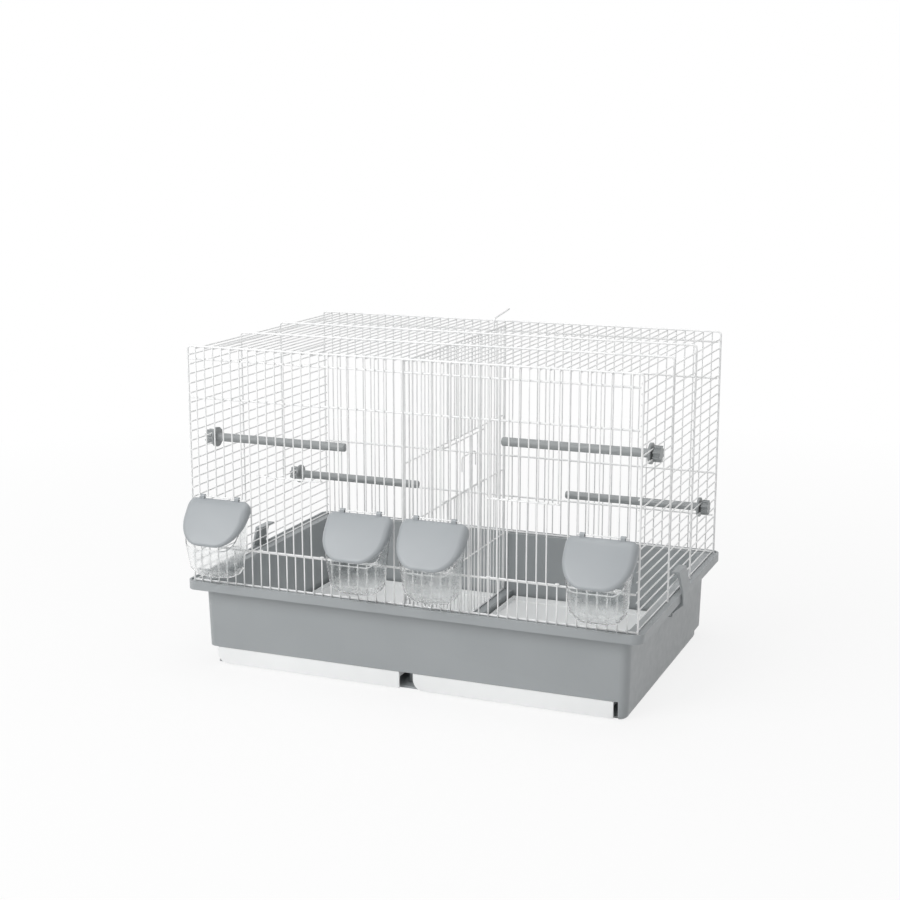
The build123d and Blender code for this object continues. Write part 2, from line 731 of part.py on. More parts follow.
os.makedirs("parts", exist_ok=True)
save("tub", [tub()])
for side, name, tray_start in ((-1, "left", tray_starts[0]), (1, "right", tray_starts[1])):
    save(f"tray_{name}", [tray(tray_start)])
    save(f"side_wires_{name}", side_wires(side))
    save(f"door_{name}", door(side))
    save(f"clip_{name}", [clip(side)])
    save(f"clip_pin_{name}", [clip_pin(side)])
hoops = []
for hoop_y in (-half_depth, -inner_hoop_y, inner_hoop_y, half_depth):
    hoops += hoop(hoop_y)
save("hoops", hoops)
save("roof_wires", roof_wires())
save("front_wires", front_wires())
save("front_rails", rails(-half_depth, (low_wire_z, rail_z, upper_rail_z, top_z - top_rail_drop)))
save("front_lintels", lintels())
save("feeder_hangers", hangers())
save("rear_wires", rear_wires())
rear_levels = (low_wire_z, rim_z + rear_low_height, rim_z + rear_mid_height, top_z - rear_upper_drop,
               top_z - rear_top_drop)
save("rear_rails", rails(half_depth, rear_levels))
for number, centre in enumerate(feeder_centres, 1):
    save(f"hood_{number}", [hood(centre)])
    save(f"cup_{number}", [cup(centre)])
for number, (side, y, gap) in enumerate(perch_places, 1):
    save(f"perch_{number}", [perch(side, y, gap)])
    save(f"perch_knob_{number}", [perch_knob(side, y, gap)])
save("divider", divider())
save("divider_tab", [divider_tab()])
save("hatch", hatch())
save("hatch_pull", [hatch_pull()])
print(f"door travel {door_travel:.1f} mm")
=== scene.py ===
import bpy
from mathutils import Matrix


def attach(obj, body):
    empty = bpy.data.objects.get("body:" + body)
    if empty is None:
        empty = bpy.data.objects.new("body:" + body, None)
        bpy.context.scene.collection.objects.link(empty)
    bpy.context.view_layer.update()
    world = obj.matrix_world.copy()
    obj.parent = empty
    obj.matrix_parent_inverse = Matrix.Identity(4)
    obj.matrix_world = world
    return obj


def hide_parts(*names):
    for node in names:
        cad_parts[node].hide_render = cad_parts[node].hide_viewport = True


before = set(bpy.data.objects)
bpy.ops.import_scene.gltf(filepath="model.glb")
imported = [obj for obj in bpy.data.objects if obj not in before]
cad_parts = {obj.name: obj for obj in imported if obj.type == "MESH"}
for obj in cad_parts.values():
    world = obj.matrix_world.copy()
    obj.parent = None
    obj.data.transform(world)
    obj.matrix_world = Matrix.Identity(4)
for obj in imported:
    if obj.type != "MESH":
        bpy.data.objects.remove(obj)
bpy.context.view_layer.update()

"""A two-compartment breeding cage: enamelled wirework, moulded base, clear cups, and a plain studio.

Lengths are in metres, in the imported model's frame: X along the width, the front towards -Y, Z up.
"""
import logging
import math
from dataclasses import dataclass, field
from enum import Enum

import bmesh
import bpy
from mathutils import Matrix, Vector

log = logging.getLogger("breeding_cage")

Point = tuple[float, float, float]
Colour = tuple[float, float, float]
FULL_TURN = 2 * math.pi
UPRIGHT = Matrix.Rotation(math.pi / 2, 4, "X")


class Side(Enum):
    """A side of the cage, with its sign along X."""

    LEFT = -1
    RIGHT = 1

    @property
    def word(self) -> str:
        """The side's name as node names spell it."""
        return self.name.lower()


# Finishes


class Nodes:
    """A short way to wire a material's nodes together."""

    NOISE_LOW = 0.3
    NOISE_HIGH = 0.7
    MIX_SHARE, MIX_DARK, MIX_LIGHT, MIX_COLOUR = 0, 6, 7, 2

    def __init__(self, name: str) -> None:
        """Start a material that holds one Principled shader.

        Args:
            name: the material's name.
        """
        self.material = bpy.data.materials.new(name)
        self.material.use_nodes = True
        self.tree = self.material.node_tree
        self.shader = self.tree.nodes["Principled BSDF"]
        self.object_coordinates = self.tree.nodes.new("ShaderNodeTexCoord").outputs["Object"]

    def add(self, kind: str, inputs: dict[str, object] | None = None, **settings: object
            ) -> bpy.types.Node:
        """Add a node.

        Args:
            kind: the node's type name.
            inputs: values or sockets for its inputs, by input name.
            settings: the node's own settings.

        Returns:
            The new node.
        """
        node = self.tree.nodes.new(kind)
        for key, value in settings.items():
            setattr(node, key, value)
        for key, value in (inputs or {}).items():
            self.feed(node, key, value)
        return node

    def feed(self, node: bpy.types.Node, key: str, value: object) -> None:
        """Link a socket to an input, or set the input's value.

        Args:
            node: the node that takes the value.
            key: the input's name.
            value: a socket, a number or a colour.
        """
        if isinstance(value, bpy.types.NodeSocket):
            self.tree.links.new(value, node.inputs[key])
        else:
            node.inputs[key].default_value = value

    def noise(self, scale: float, detail: float = 2.0) -> bpy.types.NodeSocket:
        """Add noise on object coordinates, with so many features per metre and octaves."""
        inputs = {"Vector": self.object_coordinates, "Scale": scale, "Detail": detail}
        return self.add("ShaderNodeTexNoise", inputs).outputs["Fac"]

    def ramp(self, value: bpy.types.NodeSocket, low: float, high: float) -> bpy.types.NodeSocket:
        """Map noise to the values from low to high."""
        inputs = {"Value": value, "From Min": self.NOISE_LOW, "From Max": self.NOISE_HIGH,
                  "To Min": low, "To Max": high}
        return self.add("ShaderNodeMapRange", inputs).outputs["Result"]

    def tint(self, value: bpy.types.NodeSocket, dark: Colour, light: Colour) -> bpy.types.NodeSocket:
        """Mix two colours by a value.

        Args:
            value: the mix, from 0 to 1.
            dark: the colour at 0.
            light: the colour at 1.

        Returns:
            The mixed colour.
        """
        mix = self.add("ShaderNodeMix", data_type="RGBA")
        self.tree.links.new(value, mix.inputs[self.MIX_SHARE])
        mix.inputs[self.MIX_DARK].default_value = (*dark, 1.0)
        mix.inputs[self.MIX_LIGHT].default_value = (*light, 1.0)
        return mix.outputs[self.MIX_COLOUR]

    def bump(self, height: bpy.types.NodeSocket, depth: float, below: bpy.types.NodeSocket | None = None
             ) -> bpy.types.NodeSocket:
        """Add a bump.

        Args:
            height: the relief.
            depth: its depth in metres.
            below: a bump that this one lies on.

        Returns:
            The bumped normal.
        """
        inputs = {"Height": height, "Distance": depth, "Strength": 1.0}
        if below is not None:
            inputs["Normal"] = below
        return self.add("ShaderNodeBump", inputs).outputs["Normal"]


@dataclass(frozen=True)
class WireEnamel:
    """White enamel baked on steel wire, with a faint orange-peel."""

    name: str = "white_wire_enamel"
    dark: Colour = (0.86, 0.87, 0.87)
    light: Colour = (0.93, 0.93, 0.93)
    tone_scale: float = 60.0
    gloss_scale: float = 220.0
    gloss_low: float = 0.26
    gloss_high: float = 0.40
    peel_scale: float = 500.0
    peel_depth: float = 0.00006
    coat: float = 0.25
    coat_roughness: float = 0.15

    def build(self) -> bpy.types.Material:
        """Make the material."""
        nodes = Nodes(self.name)
        tone = nodes.ramp(nodes.noise(self.tone_scale), 0.0, 1.0)
        nodes.feed(nodes.shader, "Base Color", nodes.tint(tone, self.dark, self.light))
        gloss = nodes.ramp(nodes.noise(self.gloss_scale), self.gloss_low, self.gloss_high)
        nodes.feed(nodes.shader, "Roughness", gloss)
        nodes.feed(nodes.shader, "Normal", nodes.bump(nodes.noise(self.peel_scale), self.peel_depth))
        nodes.shader.inputs["Coat Weight"].default_value = self.coat
        nodes.shader.inputs["Coat Roughness"].default_value = self.coat_roughness
        return nodes.material


@dataclass(frozen=True)
class Moulding:
    """Moulded plastic: a fine grain, faint flow marks and an uneven gloss."""

    name: str
    dark: Colour
    light: Colour
    gloss_low: float = 0.34
    gloss_high: float = 0.46
    gloss_scale: float = 90.0
    gloss_detail: float = 3.0
    tone_scale: float = 14.0
    tone_detail: float = 4.0
    grain_scale: float = 1800.0
    grain_depth: float = 0.00004
    wave_scale: float = 22.0
    wave_detail: float = 1.0
    wave_depth: float = 0.00025

    def build(self) -> bpy.types.Material:
        """Make the material."""
        nodes = Nodes(self.name)
        tone = nodes.ramp(nodes.noise(self.tone_scale, self.tone_detail), 0.0, 1.0)
        nodes.feed(nodes.shader, "Base Color", nodes.tint(tone, self.dark, self.light))
        uneven = nodes.noise(self.gloss_scale, self.gloss_detail)
        nodes.feed(nodes.shader, "Roughness", nodes.ramp(uneven, self.gloss_low, self.gloss_high))
        wave = nodes.bump(nodes.noise(self.wave_scale, self.wave_detail), self.wave_depth)
        grain = nodes.noise(self.grain_scale)
        nodes.feed(nodes.shader, "Normal", nodes.bump(grain, self.grain_depth, wave))
        return nodes.material


@dataclass(frozen=True)
class ClearMoulding:
    """Clear moulded plastic with faint flow marks."""

    name: str = "clear_cup_plastic"
    colour: Colour = (0.985, 0.99, 0.99)
    haze_low: float = 0.16
    haze_high: float = 0.32
    haze_scale: float = 120.0
    index: float = 1.10
    flow_scale: float = 45.0
    flow_depth: float = 0.0002

    def build(self) -> bpy.types.Material:
        """Make the material."""
        nodes = Nodes(self.name)
        nodes.shader.inputs["Base Color"].default_value = (*self.colour, 1.0)
        nodes.shader.inputs["Transmission Weight"].default_value = 1.0
        nodes.shader.inputs["IOR"].default_value = self.index
        haze = nodes.ramp(nodes.noise(self.haze_scale), self.haze_low, self.haze_high)
        nodes.feed(nodes.shader, "Roughness", haze)
        nodes.feed(nodes.shader, "Normal", nodes.bump(nodes.noise(self.flow_scale), self.flow_depth))
        return nodes.material


@dataclass(frozen=True)
class DrawnSteel:
    """Bright drawn wire, with fine lines along Y."""

    name: str = "drawn_steel"
    colour: Colour = (0.62, 0.62, 0.61)
    line_scale: Point = (4000.0, 60.0, 4000.0)
    line_depth: float = 0.00001
    gloss_low: float = 0.22
    gloss_high: float = 0.38

    def build(self) -> bpy.types.Material:
        """Make the material."""
        nodes = Nodes(self.name)
        inputs = {"Vector": nodes.object_coordinates, "Scale": self.line_scale}
        lines = nodes.add("ShaderNodeMapping", inputs).outputs["Vector"]
        drawn = nodes.add("ShaderNodeTexNoise", {"Vector": lines, "Scale": 1.0}).outputs["Fac"]
        nodes.shader.inputs["Base Color"].default_value = (*self.colour, 1.0)
        nodes.shader.inputs["Metallic"].default_value = 1.0
        gloss = nodes.ramp(drawn, self.gloss_low, self.gloss_high)
        nodes.feed(nodes.shader, "Roughness", gloss)
        nodes.feed(nodes.shader, "Normal", nodes.bump(drawn, self.line_depth))
        return nodes.material


@dataclass
class Palette:
    """Every finish on the cage, made once."""

    enamel: bpy.types.Material = field(default_factory=lambda: WireEnamel().build())
    base: bpy.types.Material = field(default_factory=lambda: Moulding(
        "grey_base_plastic", (0.335, 0.355, 0.365), (0.355, 0.375, 0.385)).build())
    tray: bpy.types.Material = field(default_factory=lambda: Moulding(
        "white_tray_plastic", (0.89, 0.90, 0.90), (0.92, 0.93, 0.93)).build())
    hood: bpy.types.Material = field(default_factory=lambda: Moulding(
        "grey_hood_plastic", (0.345, 0.368, 0.385), (0.365, 0.388, 0.405), 0.28, 0.38).build())
    perch: bpy.types.Material = field(default_factory=lambda: Moulding(
        "grey_perch_plastic", (0.29, 0.305, 0.31), (0.32, 0.335, 0.34)).build())
    clear: bpy.types.Material = field(default_factory=lambda: ClearMoulding().build())
    steel: bpy.types.Material = field(default_factory=lambda: DrawnSteel().build())


# Modelling helpers


def put_up(mesh: bmesh.types.BMesh, name: str, material: bpy.types.Material,
           sharp_degrees: float = 40.0) -> bpy.types.Object:
    """Turn a finished bmesh into a smooth-shaded object at the origin.

    Args:
        mesh: the bmesh, which is freed.
        name: the piece's name.
        material: its finish.
        sharp_degrees: the angle past which an edge stays crisp.

    Returns:
        The new object.
    """
    data = bpy.data.meshes.new(name)
    mesh.to_mesh(data)
    mesh.free()
    data.shade_smooth()
    data.set_sharp_from_angle(angle=math.radians(sharp_degrees))
    data.materials.append(material)
    piece = bpy.data.objects.new(name, data)
    bpy.context.scene.collection.objects.link(piece)
    return piece


def outline_edges(verts: list[bmesh.types.BMVert]) -> list[bmesh.types.BMEdge]:
    """The edges that join a ring's vertices."""
    return list({edge for vert in verts for edge in vert.link_edges})


def only_edges(items: list) -> list[bmesh.types.BMEdge]:
    """The edges among what an operator returns."""
    return [item for item in items if isinstance(item, bmesh.types.BMEdge)]


def spin_round(mesh: bmesh.types.BMesh, edges: list[bmesh.types.BMEdge], centre: Point, axis: Point,
               steps: int) -> None:
    """Spin a closed section a full turn about an axis, and join its ends."""
    bmesh.ops.spin(mesh, geom=edges, cent=centre, axis=axis, dvec=(0, 0, 0), angle=FULL_TURN,
                   steps=steps, use_merge=True, use_duplicate=False)


def add_block(mesh: bmesh.types.BMesh, middle: Vector, size: Point) -> None:
    """Add a block of a size along each axis, round its middle."""
    scale = Matrix.Diagonal((*size, 1.0))
    bmesh.ops.create_cube(mesh, size=1.0, matrix=Matrix.Translation(middle) @ scale)


class Wirework:
    """Round wires, bent wires and the small beads where they are welded."""

    SIDES = 12
    BEND_STEPS = 6
    RING_STEPS = 24
    BEAD_SIDES = 6
    BEAD_RINGS = 4
    END_ROUND = 1 / 3
    END_SEGMENTS = 2

    def __init__(self, name: str) -> None:
        """Start an empty piece.

        Args:
            name: the piece's name.
        """
        self.name = name
        self.mesh = bmesh.new()

    def straight(self, start: Point, end: Point, radius: float) -> None:
        """Add a straight wire.

        Args:
            start: one end.
            end: the other end.
            radius: the wire's radius.
        """
        span = Vector(end) - Vector(start)
        middle = Matrix.Translation(Vector(start) + span / 2)
        turn = span.to_track_quat("Z", "Y").to_matrix().to_4x4()
        made = bmesh.ops.create_cone(self.mesh, cap_ends=True, segments=self.SIDES, radius1=radius,
                                     radius2=radius, depth=span.length, matrix=middle @ turn)
        self._round_ends({face for vert in made["verts"] for face in vert.link_faces}, radius)

    def _round_ends(self, faces: set[bmesh.types.BMFace], radius: float) -> None:
        """Round the rims of a wire's two end faces.

        Args:
            faces: the faces of one wire.
            radius: the wire's radius.
        """
        ends = [face for face in faces if len(face.verts) == self.SIDES]
        rims = list({edge for face in ends for edge in face.edges})
        bmesh.ops.bevel(self.mesh, geom=rims, offset=radius * self.END_ROUND, profile=0.5,
                        segments=self.END_SEGMENTS, affect="EDGES", material=-1)

    def bent(self, points: list[Point], radius: float, bend: float) -> None:
        """Add a wire that runs through points with round bends.

        Args:
            points: the ends and the corners.
            radius: the wire's radius.
            bend: the bends' radius, to the wire's centre.
        """
        places = [Vector(point) for point in points]
        first = (places[1] - places[0]).normalized()
        turn = first.to_track_quat("Z", "Y").to_matrix().to_4x4()
        edges = self._section(Matrix.Translation(places[0]) @ turn, radius)
        bmesh.ops.contextual_create(self.mesh, geom=edges)
        place = places[0]
        for before, corner, after in zip(places, places[1:], places[2:]):
            run = (corner - before).normalized()
            onward = (after - corner).normalized()
            angle = run.angle(onward)
            setback = bend * math.tan(angle / 2)
            edges = self._push(edges, corner - run * setback - place)
            axis = run.cross(onward).normalized()
            centre = corner - run * setback + axis.cross(run) * bend
            spun = bmesh.ops.spin(self.mesh, geom=edges, cent=centre, axis=axis, dvec=(0, 0, 0),
                                  angle=angle, steps=self.BEND_STEPS, use_merge=False,
                                  use_duplicate=False)
            edges = only_edges(spun["geom_last"])
            place = corner + onward * setback
        edges = self._push(edges, places[-1] - place)
        bmesh.ops.contextual_create(self.mesh, geom=edges)

    def _section(self, matrix: Matrix, radius: float) -> list[bmesh.types.BMEdge]:
        """Add a wire's round section, and return its edges."""
        made = bmesh.ops.create_circle(self.mesh, cap_ends=False, segments=self.SIDES, radius=radius,
                                       matrix=matrix)
        return outline_edges(made["verts"])

    def _push(self, edges: list[bmesh.types.BMEdge], step: Vector) -> list[bmesh.types.BMEdge]:
        """Extrude a ring along a straight run.

        Args:
            edges: the ring's edges.
            step: the run.

        Returns:
            The edges of the ring at the run's far end.
        """
        made = bmesh.ops.extrude_edge_only(self.mesh, edges=edges)["geom"]
        verts = [item for item in made if isinstance(item, bmesh.types.BMVert)]
        bmesh.ops.translate(self.mesh, verts=verts, vec=step)
        ends = set(verts)
        return [edge for edge in only_edges(made) if set(edge.verts) <= ends]

    def ring(self, centre: Point, ring_radius: float, radius: float) -> None:
        """Add a closed level ring of wire.

        Args:
            centre: the ring's centre.
            ring_radius: the ring's radius, to the wire's centre.
            radius: the wire's radius.
        """
        start = Matrix.Translation(Vector(centre) + Vector((ring_radius, 0, 0)))
        edges = self._section(start @ UPRIGHT, radius)
        spin_round(self.mesh, edges, centre, (0, 0, 1), self.RING_STEPS)

    def bead(self, place: Point, radius: float) -> None:
        """Add a weld bead round a place."""
        bmesh.ops.create_uvsphere(self.mesh, u_segments=self.BEAD_SIDES, v_segments=self.BEAD_RINGS,
                                  radius=radius, matrix=Matrix.Translation(place))

    def finish(self, material: bpy.types.Material) -> bpy.types.Object:
        """Turn every face outwards and make the piece's object."""
        bmesh.ops.recalc_face_normals(self.mesh, faces=self.mesh.faces[:])
        return put_up(self.mesh, self.name, material)


def dress_wires(wires: Wirework, palette: Palette, body: str, *nodes: str) -> bpy.types.Object:
    """Finish a wire piece, and let it ride and stand for its nodes.

    Args:
        wires: the wires.
        palette: the finishes.
        body: the body it rides on.
        nodes: the nodes it stands for.

    Returns:
        The piece.
    """
    piece = wires.finish(palette.enamel)
    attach(piece, body)
    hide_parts(*nodes)
    return piece


@dataclass(frozen=True)
class Rounding:
    """How far the edges of each kind of part are rounded."""

    tub: float = 0.0006
    tray: float = 0.0005
    clip: float = 0.0004
    pin: float = 0.0001
    hood: float = 0.0003
    cup: float = 0.0003
    perch: float = 0.0004


def soften(piece: bpy.types.Object, width: float, segments: int = 2, weld_gap: float = 0.00001,
           sharp_degrees: float = 35.0) -> None:
    """Round a piece's sharp edges with live modifiers.

    Args:
        piece: the piece.
        width: the rounding's width.
        segments: the faces across a rounding.
        weld_gap: how near two points are to be one.
        sharp_degrees: the angle past which an edge is rounded.
    """
    weld = piece.modifiers.new("weld", "WELD")
    weld.merge_threshold = weld_gap
    bevel = piece.modifiers.new("round", "BEVEL")
    bevel.width = width
    bevel.segments = segments
    bevel.limit_method = "ANGLE"
    bevel.angle_limit = math.radians(sharp_degrees)
    bevel.use_clamp_overlap = True
    bevel.harden_normals = True


def dress_node(name: str, material: bpy.types.Material, width: float) -> None:
    """Give a CAD node its finish and rounded edges.

    Args:
        name: the node.
        material: its finish.
        width: the rounding's width.
    """
    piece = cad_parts[name]
    piece.data.materials.clear()
    piece.data.materials.append(material)
    soften(piece, width)
    log.info("node %s keeps its CAD shape", name)


# The wire grid


@dataclass(frozen=True)
class Grid:
    """The wire box's driving sizes, which every wire panel shares."""

    pitch: float = 0.0125
    side_pitch: float = 0.0124
    width_gaps: int = 48
    side_gaps: int = 24
    depth: float = 0.3875
    height: float = 0.310
    inner_hoop_y: float = 0.05625
    thin: float = 0.0009
    thick: float = 0.00135
    bend: float = 0.0045
    weld_gap: float = 0.00005
    slip: float = 0.0003
    rim_z: float = 0.114
    rail_height: float = 0.048
    upper_rails: tuple[float, ...] = (0.244, 0.294)
    rear_rails: tuple[float, ...] = (0.054, 0.114, 0.246, 0.296)

    @property
    def half_width(self) -> float:
        """Half the wire box's width."""
        return self.width_gaps * self.pitch / 2

    @property
    def half_depth(self) -> float:
        """Half the distance between the end hoops."""
        return self.depth / 2

    @property
    def crossing(self) -> float:
        """Centre distance of a thin wire welded on a thick one."""
        return self.thick + self.thin + self.weld_gap

    @property
    def thin_crossing(self) -> float:
        """Centre distance of two thin wires welded together."""
        return 2 * self.thin + self.weld_gap

    @property
    def ring_radius(self) -> float:
        """Radius of a ring that slides or turns on a thin wire, to its wire's centre."""
        return 2 * self.thin + self.slip

    @property
    def side_x(self) -> float:
        """X of the side cross wires."""
        return self.half_width - self.crossing

    @property
    def panel_y(self) -> float:
        """Distance of the front and rear upright wires from the middle."""
        return self.half_depth + self.crossing

    @property
    def top_z(self) -> float:
        """Height of the hoops' top run."""
        return self.rim_z + self.height

    @property
    def roof_z(self) -> float:
        """Height of the roof's cross wires."""
        return self.top_z - self.crossing

    @property
    def foot_z(self) -> float:
        """Height of the uprights' lower ends."""
        return self.rim_z + self.weld_gap

    @property
    def low_z(self) -> float:
        """Height of the lowest wires."""
        return self.foot_z + self.thick

    @property
    def rail_z(self) -> float:
        """Height of the front rail below the doors."""
        return self.rim_z + self.rail_height

    def column(self, place: int) -> float:
        """X of an upright, counted from the left."""
        return place * self.pitch - self.half_width

    def row(self, place: float) -> float:
        """Height of a side cross wire, counted from the rim."""
        return self.low_z + place * self.side_pitch


@dataclass
class Canopy:
    """Sides and roof: four bent hoops with close cross wires inside them."""

    grid: Grid
    palette: Palette
    bead: float = 0.0009

    def hoop_places(self) -> tuple[float, ...]:
        """Y of the four hoops."""
        inner = self.grid.inner_hoop_y
        return (-self.grid.half_depth, -inner, inner, self.grid.half_depth)

    def build(self) -> list[bpy.types.Object]:
        """Make the hoops and the three grids."""
        return [self._hoops(), self._side(Side.LEFT), self._side(Side.RIGHT), self._roof()]

    def _hoops(self) -> bpy.types.Object:
        """Make the four hoops."""
        grid = self.grid
        wires = Wirework("hoop_wires")
        for y in self.hoop_places():
            corners = [(-grid.half_width, y, grid.foot_z), (-grid.half_width, y, grid.top_z),
                       (grid.half_width, y, grid.top_z), (grid.half_width, y, grid.foot_z)]
            wires.bent(corners, grid.thick, grid.bend)
        return dress_wires(wires, self.palette, "cage", "hoops")

    def _side(self, side: Side) -> bpy.types.Object:
        """Make one side's cross wires.

        Args:
            side: which side.

        Returns:
            The piece.
        """
        grid = self.grid
        wires = Wirework(f"side_grid_{side.word}")
        x = side.value * grid.side_x
        touch = side.value * (grid.side_x + grid.thin)
        end = grid.half_depth + grid.thick
        for place in range(grid.side_gaps + 1):
            z = grid.row(place)
            wires.straight((x, -end, z), (x, end, z), grid.thin)
            for y in self.hoop_places():
                wires.bead((touch, y, z), self.bead)
        return dress_wires(wires, self.palette, "cage", f"side_wires_{side.word}")

    def _roof(self) -> bpy.types.Object:
        """Make the roof's cross wires."""
        grid = self.grid
        wires = Wirework("roof_grid")
        end = grid.half_depth + grid.thick
        for place in range(1, grid.width_gaps):
            x = grid.column(place)
            wires.straight((x, -end, grid.roof_z), (x, end, grid.roof_z), grid.thin)
            for y in self.hoop_places():
                wires.bead((x, y, grid.roof_z + grid.thin), self.bead)
        return dress_wires(wires, self.palette, "cage", "roof_wires")


@dataclass
class FrontPanel:
    """The front: uprights with two doorways and four feeder openings, on long rails."""

    grid: Grid
    palette: Palette
    door_inner_gap: int = 9
    door_gaps: int = 7
    door_height: float = 0.098
    feeder_centres: tuple[float, ...] = (-0.25625, -0.05625, 0.04375, 0.25625)
    feeder_gaps: int = 5
    hanger_height: float = 0.116
    bead: float = 0.0008

    @property
    def rail_levels(self) -> list[float]:
        """Heights of the long wires."""
        grid = self.grid
        return [grid.low_z, grid.rail_z] + [grid.rim_z + height for height in grid.upper_rails]

    @property
    def door_edges(self) -> tuple[float, float]:
        """X of a door's inner and outer guide wires."""
        inner = self.door_inner_gap * self.grid.pitch
        return inner, inner + self.door_gaps * self.grid.pitch

    @property
    def door_bar_z(self) -> float:
        """Height of a closed door's lower bar."""
        return self.grid.rail_z + self.grid.thick + self.grid.slip + self.grid.thin

    @property
    def lintel_z(self) -> float:
        """Height of the doorways' upper wire."""
        return self.door_bar_z + self.door_height

    @property
    def hanger_z(self) -> float:
        """Height of the wires that the hoods hang on."""
        return self.grid.rim_z + self.hanger_height

    @property
    def hanger_y(self) -> float:
        """Y of the wires that the hoods hang on."""
        return -self.grid.panel_y - self.grid.thin_crossing

    @property
    def half_feeder(self) -> float:
        """Half a feeder opening's width."""
        return self.feeder_gaps * self.grid.pitch / 2

    def restart(self, x: float) -> float | None:
        """Find where a cut upright starts again above an opening.

        Args:
            x: the upright's place.

        Returns:
            The height, or None where the upright isn't cut.
        """
        inner, outer = self.door_edges
        if inner < abs(x) < outer:
            return self.lintel_z - self.grid.thin
        if any(abs(x - centre) < self.half_feeder for centre in self.feeder_centres):
            return self.hanger_z - self.grid.thin
        return None

    def build(self) -> list[bpy.types.Object]:
        """Make the uprights, rails, lintels and hangers."""
        return [self._uprights(), self._rails(), self._lintels(), self._hangers()]

    def _uprights(self) -> bpy.types.Object:
        """Make the upright wires and their welds."""
        grid = self.grid
        wires = Wirework("front_uprights")
        y = -grid.panel_y
        for place in range(1, grid.width_gaps):
            x = grid.column(place)
            restart = self.restart(x)
            if restart is None:
                wires.straight((x, y, grid.foot_z), (x, y, grid.top_z), grid.thin)
            else:
                wires.straight((x, y, grid.foot_z), (x, y, grid.rail_z + grid.thick), grid.thin)
                wires.straight((x, y, restart), (x, y, grid.top_z), grid.thin)
            for z in self.rail_levels + [grid.top_z - grid.thin]:
                wires.bead((x, y + grid.thin, z), self.bead)
        return dress_wires(wires, self.palette, "cage", "front_wires")

    def _rails(self) -> bpy.types.Object:
        """Make the long horizontal wires."""
        grid = self.grid
        wires = Wirework("front_rail_wires")
        reach = grid.side_x - grid.thin - grid.weld_gap
        for z in self.rail_levels:
            wires.straight((-reach, -grid.half_depth, z), (reach, -grid.half_depth, z), grid.thick)
        return dress_wires(wires, self.palette, "cage", "front_rails")

    def _lintels(self) -> bpy.types.Object:
        """Make the short wires over the doorways."""
        grid = self.grid
        wires = Wirework("doorway_lintels")
        y = -grid.panel_y + grid.thin_crossing
        inner, outer = self.door_edges
        clear = grid.ring_radius + grid.thin + grid.slip
        for side in Side:
            start = (side.value * (inner + clear), y, self.lintel_z)
            end = (side.value * (outer - clear), y, self.lintel_z)
            wires.straight(start, end, grid.thin)
            for place in range(1, self.door_gaps):
                x = side.value * (inner + place * grid.pitch)
                wires.bead((x, y - grid.thin, self.lintel_z), self.bead)
        return dress_wires(wires, self.palette, "cage", "front_lintels")

    def _hangers(self) -> bpy.types.Object:
        """Make the short wires over the feeder openings."""
        grid = self.grid
        wires = Wirework("hood_hangers")
        reach = self.half_feeder + grid.thin
        for centre in self.feeder_centres:
            wires.straight((centre - reach, self.hanger_y, self.hanger_z),
                           (centre + reach, self.hanger_y, self.hanger_z), grid.thin)
            for place in range(self.feeder_gaps + 1):
                x = centre - self.half_feeder + place * grid.pitch
                wires.bead((x, self.hanger_y + grid.thin, self.hanger_z), self.bead)
        return dress_wires(wires, self.palette, "cage", "feeder_hangers")


@dataclass
class RearPanel:
    """The rear: plain uprights on long rails."""

    grid: Grid
    palette: Palette
    bead: float = 0.0008

    def build(self) -> list[bpy.types.Object]:
        """Make the uprights and the rails.

        Returns:
            The pieces.
        """
        grid = self.grid
        levels = [grid.low_z] + [grid.rim_z + height for height in grid.rear_rails]
        uprights = Wirework("rear_uprights")
        for place in range(1, grid.width_gaps):
            x = grid.column(place)
            foot = (x, grid.panel_y, grid.foot_z)
            uprights.straight(foot, (x, grid.panel_y, grid.top_z), grid.thin)
            for z in levels + [grid.top_z - grid.thin]:
                uprights.bead((x, grid.panel_y - grid.thin, z), self.bead)
        rails = Wirework("rear_rail_wires")
        reach = grid.side_x - grid.thin - grid.weld_gap
        for z in levels:
            rails.straight((-reach, grid.half_depth, z), (reach, grid.half_depth, z), grid.thick)
        return [dress_wires(uprights, self.palette, "cage", "rear_wires"),
                dress_wires(rails, self.palette, "cage", "rear_rails")]


@dataclass
class LiftDoor:
    """One wire door that slides up its two guide wires."""

    grid: Grid
    palette: Palette
    panel: FrontPanel
    side: Side
    bead: float = 0.0008

    def build(self) -> bpy.types.Object:
        """Make the bars, rings and uprights.

        Returns:
            The piece.
        """
        grid = self.grid
        wires = Wirework(f"lift_door_{self.side.word}")
        inner, outer = (self.side.value * edge for edge in self.panel.door_edges)
        bar_y = -grid.panel_y - grid.ring_radius
        upright_y = bar_y - grid.thin_crossing
        inset = self.side.value * (grid.ring_radius + grid.thin)
        heights = (self.panel.door_bar_z, self.panel.lintel_z)
        for z in heights:
            wires.straight((inner + inset, bar_y, z), (outer - inset, bar_y, z), grid.thin)
            for x in (inner, outer):
                wires.ring((x, -grid.panel_y, z), grid.ring_radius, grid.thin)
        for place in range(1, self.panel.door_gaps):
            x = inner + self.side.value * place * grid.pitch
            foot = (x, upright_y, heights[0] - grid.thin)
            head = (x, upright_y, heights[1] + grid.thin)
            wires.straight(foot, head, grid.thin)
            for z in heights:
                wires.bead((x, bar_y - grid.thin, z), self.bead)
        return dress_wires(wires, self.palette, f"door_{self.side.word}", f"door_{self.side.word}")


